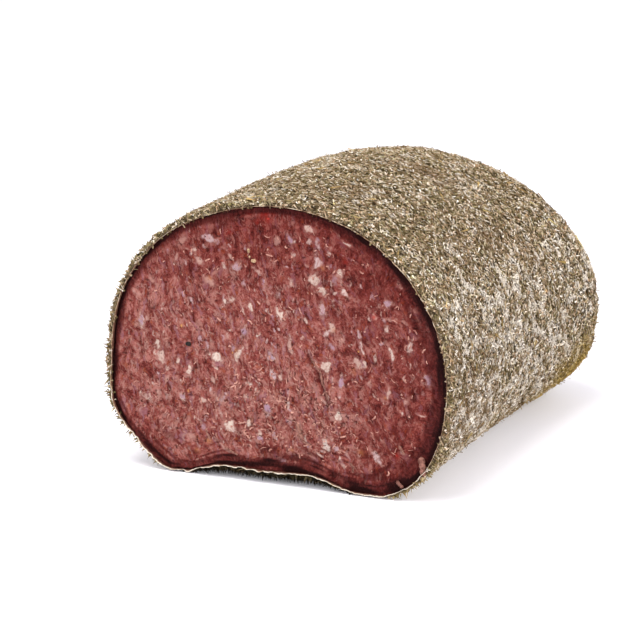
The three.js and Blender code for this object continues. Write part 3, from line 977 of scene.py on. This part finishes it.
def make_torn_curls(face):
    """Curls of mince torn up by the knife, many in the loose part and a few elsewhere."""
    random = np.random.default_rng(83)
    shapes = []
    while len(shapes) < TORN_CURLS:
        place = random_place(random, COAT + 5.0)[0]
        loose = loose_distance(*place, CURLS_REACH)
        if random.random() > 0.13 + 0.87 * fade(loose, 0.4, 1.2):
            continue
        heading = math.radians(90.0 + 55.0 * random.standard_normal())
        bend = 1.6 * random.standard_normal()
        long = 1.0 + 2.5 * random.random() ** 2
        path = []
        for step in np.linspace(-0.5, 0.5, 6):
            angle = heading + bend * step
            place = place + np.array([math.cos(angle), math.sin(angle)]) * long / 6
            lift = 0.08 - (0.15 + 0.30 * random.random()) * math.cos(math.pi * step)
            path.append((place[0], cut_depth(face, *place) + lift, place[1]))
        wide = (0.26 + 0.40 * random.random() ** 1.5) * CURL_TAPER
        shapes.append(tube(path, wide, 0.20, 4))
    finish = plain_mix("torn_mince", (0.21, 0.056, 0.043), (0.56, 0.300, 0.235), 1.6, 0.5)
    add_piece(make_mesh("torn_curls", *join_shapes(shapes)), finish, "meat")


def make_strands(face):
    """Pale sinews, and shreds of meat that stand a little off the cut."""
    sinews = [tube(bent_path(face, corners, 0.25), np.full(PATH_POINTS, width), width * 0.7)
              for width, corners in SINEWS]
    finish = plain_mix("pale_sinew", (0.33, 0.140, 0.112), (0.45, 0.245, 0.200), 0.8, 0.5)
    add_piece(make_mesh("sinews", *join_shapes(sinews)), finish, "meat")
    shreds = [tube(bent_path(face, corners, 0.45), width * SHRED_TAPER, width * 0.45, 8)
              for width, corners in SHREDS]
    finish = plain_mix("shredded_mince", (0.09, 0.030, 0.022), (0.30, 0.140, 0.105), 1.0, 0.5, 0.3)
    add_piece(make_mesh("meat_shreds", *join_shapes(shreds)), finish, "meat")


def make_spices(face):
    """A peppercorn, seeds and crumbs of spice that lie in the cut."""
    for name, (dark, light, roughness), kind in SPICES:
        shapes = []
        for k, (px, py, wide, high) in enumerate(kind):
            x, z = on_cut(px, py)
            size = (wide, min(wide, high) * 0.8, high)
            shapes.append(pebble((x, cut_depth(face, x, z) - 0.1, z), size, 7 + k))
        finish = plain_mix(name, dark, light, 0.5, roughness)
        add_piece(make_mesh(name, *join_shapes(shapes)), finish, "meat")


# The casing and its herbs

# How far the bed of crushed herb and the ground of the needles lie in the coat, and their spacing
BED_SINK, BED_SPACING = 0.5, 1.3
GROUND_SINK, GROUND_SPACING = 0.2, 1.0
# How far the coat stands back from the plane of the cut on its underside
UNDER_BACK = 1.2
# Spacing of the mesh inside the coat, where the meat hides it
INSIDE_SPACING = 5.0
# Half the width of the hollow between the feet
ARCH_HALF = 39.0
# Points round the loaf and round the thickness of the thin skin of the casing at the cut
CASING_POINTS = 1400
CASING_SIDES = 8

def coat_marks(points):
    """Where the pale bloom, browner patches and the yellowed end of the coat lie, and where shade is painted
    between the feet under the arch.
    """
    x, y, z = points.T
    far_end = smoothstep(y, 5.0, 58.0)
    # Yellowed low at the far end, more so at the right
    height = z / (15.0 + 22.0 * far_end) + 0.35 * fractal(points, 7.0, 87, 2)
    stain = fade(height, 0.28, 1.05) * (0.15 + 0.85 * far_end)
    stain *= 0.50 + 0.75 * smoothstep(x, -10.0, 35.0)
    stain = np.clip(stain * (1.0 + 0.35 * noise(points, 2.5, 89)), 0.0, 1.0)
    # Painted shade: the hollow between the feet near the cut is darkened where the loaf shades it
    in_arch = smoothstep(ARCH_HALF - np.abs(x), 0.0, 8.0)
    painted_shade = fade(y, FRONT + 10.0, FRONT + 30.0) * fade(z, 3.0, 8.0) * in_arch
    # Bloom in small slanted patches, most of it on the right flank
    flank = smoothstep(x, 20.0, 55.0) * (1.0 - 0.9 * smoothstep(z, 50.0, 80.0))
    flank *= 1.0 - 0.7 * smoothstep(y, 25.0, 70.0)
    slanted = points @ np.array([[1.0, 0.0, 0.0], [0.0, 1.0, 0.25], [0.0, 0.0, 0.85]])
    patches = 0.16 * fractal(points, 16.0, 82, 2) + 0.80 * fractal(slanted, 2.0, 84, 3) + 0.26 * flank
    patches += 0.13 * fade(x, -35.0, 5.0)
    bloom = smoothstep(patches, -0.05, 0.52) * smoothstep(y, FRONT, FRONT + 4.0)
    bloom *= (1.0 - painted_shade) * (1.0 - 0.7 * stain)
    brown = smoothstep(fractal(points, 24.0, 85, 2) + 0.25 * smoothstep(y, 45.0, 72.0), 0.05, 0.5)
    return {"bloom": bloom, "brown": brown, "stain": stain, "painted_shade": painted_shade}


def coat_outside(sink, spacing):
    """The coat's outside and the edge of the coat at the cut, as rings from the casing outwards."""
    count = round(ROUND_LENGTH / spacing)
    part = np.arange(count) / count
    rings = []
    thin = underside(part)
    for share in np.linspace(0.0, 1.0, 4)[:-1]:
        ring = skin(part, 0.0, coat_depth(part) * (1.0 - share) + sink * share)
        ring[:, 1] += 0.25 * fractal(ring, 3.0, 91, 2) + UNDER_BACK * thin
        rings.append(ring)
    for ring_part, far in loaf_rings(0.0, 0.0, spacing):
        ring = skin(ring_part, far)
        out = skin_out(ring_part, max(far, 0.6))
        free = smoothstep(ring[:, 2], 0.2, 3.0)
        lift = (0.45 * fractal(ring, 9.0, 93, 2) + 0.38 * noise(ring, 2.8, 97)) * free - sink
        rings.append(ring + out * lift[:, None])
        rings[-1][:, 1] += UNDER_BACK * underside(ring_part) * fade(far, 0.0, 4.0)
        rings[-1][:, 2] = np.maximum(rings[-1][:, 2], 0.12)
    rings.append(skin(np.zeros(1), np.full(1, LENGTH - sink)))
    return rings


def make_coat():
    """The bed of crushed herb on the casing: a closed shell round the meat, open at the cut."""
    outside = coat_outside(BED_SINK, BED_SPACING)
    inside = [skin(part, far, coat_depth(part)) for part, far in loaf_rings(UNDER_BACK, COAT, INSIDE_SPACING)]
    inside.append(skin(np.zeros(1), np.full(1, LENGTH - COAT), COAT))
    points, faces = ring_surface(inside[::-1] + outside)
    add_piece(make_mesh("herb_coat", points, faces, coat_marks(points)), herb_bed(), "herb_casing")


def make_casing_edge():
    """The thin dry skin between meat and herbs, a little proud of the cut and curling under the arch."""
    count = CASING_POINTS
    part = np.arange(count) / count
    middle = skin(part, 0.0, coat_depth(part) + 0.12)
    out = skin_out(part, np.full(count, 1.0))
    out[:, 1] = 0.0
    low = underside(part)
    proud = 0.42 + 0.45 * fractal(middle, 2.4, 101, 3) + low * (0.30 + 0.90 * fractal(middle, 1.6, 103, 3))
    curl = 0.16 * fractal(middle, 3.0, 105, 2) + low * (0.05 + 0.75 * fractal(middle, 1.9, 107, 3))
    thick = 0.12 + 0.05 * noise(middle, 1.6, 109) + low * (0.11 * noise(middle, 1.1, 113) + 0.02)
    rings, tip = [], []
    for turn in np.arange(CASING_SIDES) / CASING_SIDES * 2.0 * math.pi:
        at_tip = (1.0 - math.sin(turn)) / 2
        tip.append(np.full(count, at_tip))
        across = thick * math.cos(turn) + curl * max(-math.sin(turn), 0.0)
        ring = middle + out * across[:, None]
        ring[:, 1] = FRONT - proud * at_tip + 2.0 * (1.0 - at_tip)
        ring[:, 2] = np.maximum(ring[:, 2], 0.15)
        rings.append(ring)
    points = np.concatenate(rings)
    faces = []
    for k in range(len(rings)):
        near, far = k * count, ((k + 1) % len(rings)) * count
        for i in range(count):
            following = (i + 1) % count
            faces.append((near + i, far + i, far + following, near + following))
    marks = {"bare": np.tile(low, len(rings)), "tip": np.concatenate(tip)}
    add_piece(make_mesh("casing_edge", points, faces, marks), casing_skin(), "herb_casing")


# What the scatter asks for: the name and kind of each input
SCATTER_INPUTS = (
    ("Surface", "Geometry"), ("Needles per square metre", "Float"), ("Density mark", "String"),
    ("Mark weight", "Float"), ("Shortest", "Float"), ("Longest", "Float"), ("Width", "Float"),
    ("Thickness", "Float"), ("Lowest", "Float"), ("Highest", "Float"), ("Lean", "Float"),
    ("Heading", "Float"), ("Spread", "Float"), ("Seed", "Int"), ("Finish", "Material"),
)


def herb_scatter():
    """Scatters needles over a surface: points by density, a needle on each, laid along the surface."""
    tree = bpy.data.node_groups.new("herb scatter", "GeometryNodeTree")
    for name, kind in SCATTER_INPUTS:
        tree.interface.new_socket(name, in_out="INPUT", socket_type="NodeSocket" + kind)
    tree.interface.new_socket("Needles", in_out="OUTPUT", socket_type="NodeSocketGeometry")
    kit = NodeKit(tree)
    given = kit.add("NodeGroupInput").outputs

    def random_between(low, high, offset):
        """A random number for each needle, another one for each offset."""
        node = kit.add("FunctionNodeRandomValue", {"Seed": kit.math("ADD", given["Seed"], offset)},
                       data_type="FLOAT")
        floats = [s for s in node.inputs if s.type == "VALUE" and s.name in ("Min", "Max")]
        for socket, value in zip(floats, (low, high)):
            kit.feed(socket, value)
        return [s for s in node.outputs if s.type == "VALUE"][0]

    # Points, denser or thinner where the mark is high, up off the surface or down into it
    mark = kit.add("GeometryNodeInputNamedAttribute", {"Name": given["Density mark"]}, data_type="FLOAT")
    weight = kit.math("ADD", kit.times(mark.outputs["Attribute"], given["Mark weight"]), 1.0)
    density = kit.times(kit.math("MAXIMUM", weight, 0.0), given["Needles per square metre"])
    scatter = kit.add("GeometryNodeDistributePointsOnFaces", {
        "Mesh": given["Surface"], "Density": density, "Seed": given["Seed"]}, distribute_method="RANDOM")
    normal = scatter.outputs["Normal"]
    height = random_between(given["Lowest"], given["Highest"], 1)
    lift = kit.add("ShaderNodeVectorMath", {0: normal, "Scale": height}, operation="SCALE")
    raised = kit.add("GeometryNodeSetPosition", {
        "Geometry": scatter.outputs["Points"], "Offset": lift.outputs[0]})
    # The way each lies: flat on the surface and along the loaf, then swung aside and tipped up
    outward = kit.add("FunctionNodeAlignRotationToVector", {"Vector": normal}, axis="Z")
    lengthwise = kit.add("FunctionNodeAlignRotationToVector", {
        "Rotation": outward.outputs["Rotation"], "Vector": (0.0, 1.0, 0.0)}, axis="Y", pivot_axis="Z")
    stray = kit.math("ADD", random_between(-0.5, 0.5, 2), random_between(-0.5, 0.5, 3))
    swing = kit.math("ADD", kit.times(stray, given["Spread"]), given["Heading"])
    spin = kit.add("ShaderNodeCombineXYZ", {"Z": swing})
    spun = kit.add("FunctionNodeRotateRotation", {
        "Rotation": lengthwise.outputs["Rotation"], "Rotate By": spin.outputs[0]}, rotation_space="LOCAL")
    tilt = random_between(kit.times(given["Lean"], -1.0), given["Lean"], 4)
    tip = kit.add("ShaderNodeCombineXYZ", {"X": kit.math("ADD", tilt, math.pi / 2)})
    laid = kit.add("FunctionNodeRotateRotation", {
        "Rotation": spun.outputs["Rotation"], "Rotate By": tip.outputs[0]}, rotation_space="LOCAL")
    # The needle itself: a three-sided spike, longer, wider and thicker as its inputs say
    chip = kit.add("GeometryNodeMeshCone", {
        "Vertices": 3, "Radius Top": 0.0, "Radius Bottom": 0.6, "Depth": 1.0})
    centred = kit.add("GeometryNodeTransform", {
        "Geometry": chip.outputs["Mesh"], "Translation": (0.0, 0.0, -0.5)})
    needle = kit.add("GeometryNodeSetShadeSmooth", {
        "Geometry": centred.outputs["Geometry"], "Shade Smooth": False})
    stout = random_between(0.7, 1.35, 5)
    size = kit.add("ShaderNodeCombineXYZ", {
        "X": kit.times(given["Width"], stout), "Y": kit.times(given["Thickness"], stout),
        "Z": random_between(given["Shortest"], given["Longest"], 6)})
    placed = kit.add("GeometryNodeInstanceOnPoints", {
        "Points": raised.outputs["Geometry"], "Instance": needle.outputs["Geometry"],
        "Rotation": laid.outputs["Rotation"], "Scale": size.outputs[0]})
    # Its own shade of colour
    shade = kit.add("GeometryNodeStoreNamedAttribute", {
        "Geometry": placed.outputs["Instances"], "Name": "shade"}, data_type="FLOAT", domain="INSTANCE")
    value_in = [s for s in shade.inputs if s.name == "Value" and s.type == "VALUE"][0]
    kit.feed(value_in, random_between(0.0, 1.0, 7))
    real = kit.add("GeometryNodeRealizeInstances", {"Geometry": shade.outputs["Geometry"]})
    painted = kit.add("GeometryNodeSetMaterial", {
        "Geometry": real.outputs["Geometry"], "Material": given["Finish"]})
    kit.add("NodeGroupOutput", {"Needles": painted.outputs["Geometry"]})
    return tree


# Points of one needle, how near the floor one comes, and how far it may stand out of the cut
NEEDLE_CORNERS = 4
FLOOR_GAP = 0.03
FLUSH_AT_CUT = 0.22


def settle_needles(mesh):
    """Moves whole needles up off the floor and back to the plane of the cut."""
    flat = np.empty(len(mesh.vertices) * 3, dtype=np.float32)
    mesh.vertices.foreach_get("co", flat)
    needles = flat.reshape(-1, NEEDLE_CORNERS, 3)
    floor = FLOOR_GAP * MM
    needles[:, :, 2] += np.maximum(floor - needles[:, :, 2].min(axis=1), 0.0)[:, None]
    front = (FRONT - FLUSH_AT_CUT) * MM
    needles[:, :, 1] += np.maximum(front - needles[:, :, 1].min(axis=1), 0.0)[:, None]
    mesh.vertices.foreach_set("co", needles.ravel())
    mesh.update()


def scatter_kind(name, kind, ground, tree):
    """One kind of needle over the ground, as a plain mesh of its own."""
    material = dried_herb(name, kind["shades"], kind["bloomed"])
    inputs = {
        "Needles per square metre": kind["count"], "Density mark": "bloom", "Mark weight": kind["weight"],
        "Shortest": kind["length"][0] * MM, "Longest": kind["length"][1] * MM,
        "Width": kind["width"] * MM, "Thickness": kind["width"] * 0.5 * MM,
        "Lowest": kind["lift"][0] * MM, "Highest": kind["lift"][1] * MM, "Lean": kind["lean"],
        "Heading": kind["heading"], "Spread": kind["spread"], "Seed": kind["seed"], "Finish": material}
    host = bpy.data.objects.new(name, ground)
    bpy.context.scene.collection.objects.link(host)
    modifier = host.modifiers.new("scatter", "NODES")
    modifier.node_group = tree
    ways_in = {s.name: s.identifier for s in tree.interface.items_tree if s.in_out == "INPUT"}
    for key, value in inputs.items():
        modifier[ways_in[key]] = value
    bpy.context.view_layer.update()
    depsgraph = bpy.context.evaluated_depsgraph_get()
    mesh = bpy.data.meshes.new_from_object(host.evaluated_get(depsgraph), preserve_all_data_layers=True,
                                           depsgraph=depsgraph)
    bpy.data.objects.remove(host)
    mesh.name = name
    settle_needles(mesh)
    add_piece(mesh, material, "herb_casing")


# The way most needles lie, in radians round from the length of the loaf
ASLANT = 1.92

# Chips and needles of the coat: how many a square metre and how bloom changes that, lengths, width,
# how deep and how high they lie, how far they stand up, which way they lie and how much they stray,
# how much bloom they take, and their dark, middle and light shades
HERB_KINDS = {
    "leaf_dark": dict(
        count=620e3, weight=-0.60, length=(1.0, 2.8), width=0.74, lift=(-0.40, 0.20), lean=0.28,
        heading=ASLANT, spread=2.6, seed=3, bloomed=0.40,
        shades=((0.014, 0.009, 0.004), (0.060, 0.041, 0.018), (0.165, 0.115, 0.056))),
    "leaf_olive": dict(
        count=640e3, weight=-0.30, length=(1.0, 3.0), width=0.62, lift=(-0.25, 0.35), lean=0.32,
        heading=ASLANT, spread=2.4, seed=13, bloomed=0.85,
        shades=((0.085, 0.064, 0.026), (0.205, 0.160, 0.080), (0.370, 0.300, 0.178))),
    "leaf_tan": dict(
        count=580e3, weight=-0.10, length=(1.0, 2.8), width=0.54, lift=(-0.20, 0.45), lean=0.34,
        heading=ASLANT, spread=2.2, seed=23, bloomed=0.9,
        shades=((0.155, 0.092, 0.046), (0.320, 0.228, 0.140), (0.520, 0.410, 0.285))),
    "leaf_pale": dict(
        count=330e3, weight=2.3, length=(0.9, 2.2), width=0.56, lift=(-0.05, 0.50), lean=0.36,
        heading=ASLANT, spread=2.0, seed=33, bloomed=1.0,
        shades=((0.400, 0.310, 0.200), (0.610, 0.520, 0.400), (0.840, 0.790, 0.710))),
    "bristles": dict(
        count=120e3, weight=0.0, length=(1.4, 3.4), width=0.30, lift=(0.0, 0.75), lean=1.2,
        heading=ASLANT, spread=4.0, seed=43, bloomed=0.5,
        shades=((0.035, 0.024, 0.010), (0.170, 0.128, 0.055), (0.460, 0.370, 0.230))),
    "stalks": dict(
        count=2.8e3, weight=-0.3, length=(3.0, 6.0), width=0.85, lift=(0.40, 0.80), lean=0.14,
        heading=1.7, spread=3.0, seed=53, bloomed=0.2,
        shades=((0.190, 0.125, 0.045), (0.380, 0.265, 0.110), (0.520, 0.420, 0.200))),
}

# Loose needles round the edge of the cut and in the hollow between the feet, and their shades
EDGE_HERBS = 1100
ARCH_HERBS = 2600
LOOSE_SHADES = HERB_KINDS["leaf_olive"]["shades"]


def needle_shape(root, tip, width, random):
    """A needle as a three-sided spike from root to tip."""
    way = tip - root
    side = np.cross(way, random.standard_normal(3))
    side /= np.linalg.norm(side)
    over = np.cross(way / np.linalg.norm(way), side)
    turns = np.arange(3) / 3 * 2.0 * math.pi
    base = root + width * (np.outer(np.cos(turns), side) + np.outer(np.sin(turns), over))
    base[:, 2] = np.maximum(base[:, 2], 0.05)
    return np.concatenate([base, tip[None]]), [(0, 2, 1), (0, 1, 3), (1, 2, 3), (2, 0, 3)]


def make_loose_needles(name, shapes, bloomed, painted_shade, random):
    """A piece of needles made one by one, each with its own shade of colour and how much painted shade it
    takes.
    """
    points, faces = join_shapes(shapes)
    marks = coat_marks(points)
    marks["shade"] = np.repeat(random.random(len(shapes)), NEEDLE_CORNERS)
    marks["painted_shade"] = np.repeat(painted_shade, NEEDLE_CORNERS)
    mesh = make_mesh(name, points, faces, marks, smooth=False)
    add_piece(mesh, dried_herb(name, LOOSE_SHADES, bloomed), "herb_casing")


def make_edge_herbs():
    """Loose needles that stick out round the edge of the coat at the cut, most of them low and left."""
    random = np.random.default_rng(67)
    shapes = []
    while len(shapes) < EDGE_HERBS:
        part = np.array([random.random()])
        far = random.random() ** 2 * 6.0
        root = skin(part, far, coat_depth(part) * (0.1 + 0.7 * random.random()))[0]
        low = fade(root[2], 3.0, 34.0)
        left = smoothstep(-root[0], 30.0, 48.0)
        if random.random() > 0.22 + 0.78 * max(0.8 * low, 0.8 * left):
            continue
        way = skin_out(part, np.array([max(far, 0.6)]))[0] + np.array([0.0, -0.30, -0.15])
        way += 0.80 * random.standard_normal(3)
        way /= np.linalg.norm(way)
        tip = root + way * (1.0 + 1.9 * random.random() * (0.35 + 0.65 * max(low, left)))
        if tip[2] < 0.1 or tip[1] < FRONT - 1.2:
            continue
        shapes.append(needle_shape(root, tip, 0.24 + 0.34 * random.random() ** 2, random))
    roots = np.array([points[0] for points, faces in shapes])
    # Painted shade on the needles that lie in the hollow between the feet
    make_loose_needles("edge_herbs", shapes, 0.4, coat_marks(roots)["painted_shade"], random)


def make_arch_herbs():
    """Needles low between the feet, under the arch: a mat painted nearly black as shade, and flakes near the
    casing, some of them paler with less painted shade.
    """
    random = np.random.default_rng(71)
    shapes, painted_shade = [], []
    feet = OUTLINE["left_foot"][0], OUTLINE["right_foot"][0]
    parts = np.linspace(0.5, 1.0, 2000)
    places = outline(parts, 0.0)
    while len(shapes) < ARCH_HERBS:
        x = feet[0] + (feet[1] - feet[0]) * random.random()
        part = parts[np.argmin(np.abs(places[:, 0] - x) + 99.0 * (places[:, 1] > 12.0))]
        deep = random.random() < 0.90
        far = 2.0 + 9.0 * random.random() if deep else 0.4 + 1.2 * random.random()
        clump = noise(np.array([[x, 0.0, 0.0]]), 2.6, 121)[0]
        if not deep and clump < 0.0:
            continue
        root = skin(np.array([part]), far, 0.2)[0]
        drop = (root[2] - 0.1) * (0.9 if deep else 0.10 + 0.65 * random.random() ** 2)
        stray = 0.5 if deep else 1.1
        tip = root + np.array([stray * random.standard_normal(), stray * random.standard_normal(), -drop])
        if np.linalg.norm(tip - root) < 0.5 or tip[1] < FRONT - 0.5:
            continue
        shapes.append(needle_shape(root, tip, 0.30 if deep else 0.16 + 0.16 * random.random(), random))
        # Painted shade: full on the deep mat, a quarter on about a third of the flakes near the front
        painted_shade.append(0.25 if not deep and random.random() < 0.35 else 1.0)
    make_loose_needles("arch_herbs", shapes, 0.2, np.array(painted_shade), random)


def make_herbs():
    """The mat of chopped dried herbs, one piece for each kind."""
    points, faces = ring_surface(coat_outside(GROUND_SINK, GROUND_SPACING))
    ground = make_mesh("ground", points, faces, coat_marks(points))
    tree = herb_scatter()
    for name, kind in HERB_KINDS.items():
        scatter_kind(name, kind, ground, tree)


# The room

# Half the side of the floor and the side of each lamp, in metres
FLOOR_HALF = 6.0
LAMP_SIDE = 0.6
# Where each lamp stands, in metres, and its power in watts
LAMPS = {
    "overhead_light": ((-0.15, -0.25, 0.95), 9.0),
    "front_light": ((-0.55, -0.95, 0.75), 5.5),
    "side_light": ((1.0, -0.30, 0.55), 11.0),
}
LAMP_AIM = (0.0, 0.0, 0.04)


def add_floor():
    """A plain pale floor."""
    mesh = bpy.data.meshes.new("floor")
    corners = [(x * FLOOR_HALF, y * FLOOR_HALF, 0.0) for x, y in ((-1, -1), (1, -1), (1, 1), (-1, 1))]
    mesh.from_pydata(corners, [], [(0, 1, 2, 3)])
    paint = bpy.data.materials.new("floor_paint")
    paint.use_nodes = True
    shader = paint.node_tree.nodes["Principled BSDF"].inputs
    shader["Base Color"].default_value = (0.89, 0.885, 0.93, 1.0)
    shader["Roughness"].default_value = 0.5
    shader["Emission Color"].default_value = (0.96, 0.95, 1.0, 1.0)
    shader["Emission Strength"].default_value = 0.15
    floor = add_object(mesh, paint)


def add_light():
    """A pale sky and soft lamps."""
    scene = bpy.context.scene
    world = bpy.data.worlds.new("world")
    scene.world = world
    world.use_nodes = True
    sky = world.node_tree.nodes["Background"].inputs
    sky["Color"].default_value = (0.945, 0.935, 1.0, 1.0)
    sky["Strength"].default_value = 0.74
    for name, (place, power) in LAMPS.items():
        light = bpy.data.lights.new(name, "AREA")
        light.size = LAMP_SIDE
        light.energy = power
        light.color = (1.0, 0.985, 0.955)
        lamp = bpy.data.objects.new(name, light)
        lamp.location = place
        lamp.rotation_euler = (Vector(LAMP_AIM) - Vector(place)).to_track_quat("-Z", "Y").to_euler()
        scene.collection.objects.link(lamp)
    scene.view_settings.view_transform = "Standard"
    scene.view_settings.look = "None"


add_camera()
add_floor()
add_light()
cut_face = make_meat()
make_torn_curls(cut_face)
make_strands(cut_face)
make_spices(cut_face)
make_coat()
make_casing_edge()
make_herbs()
make_edge_herbs()
make_arch_herbs()
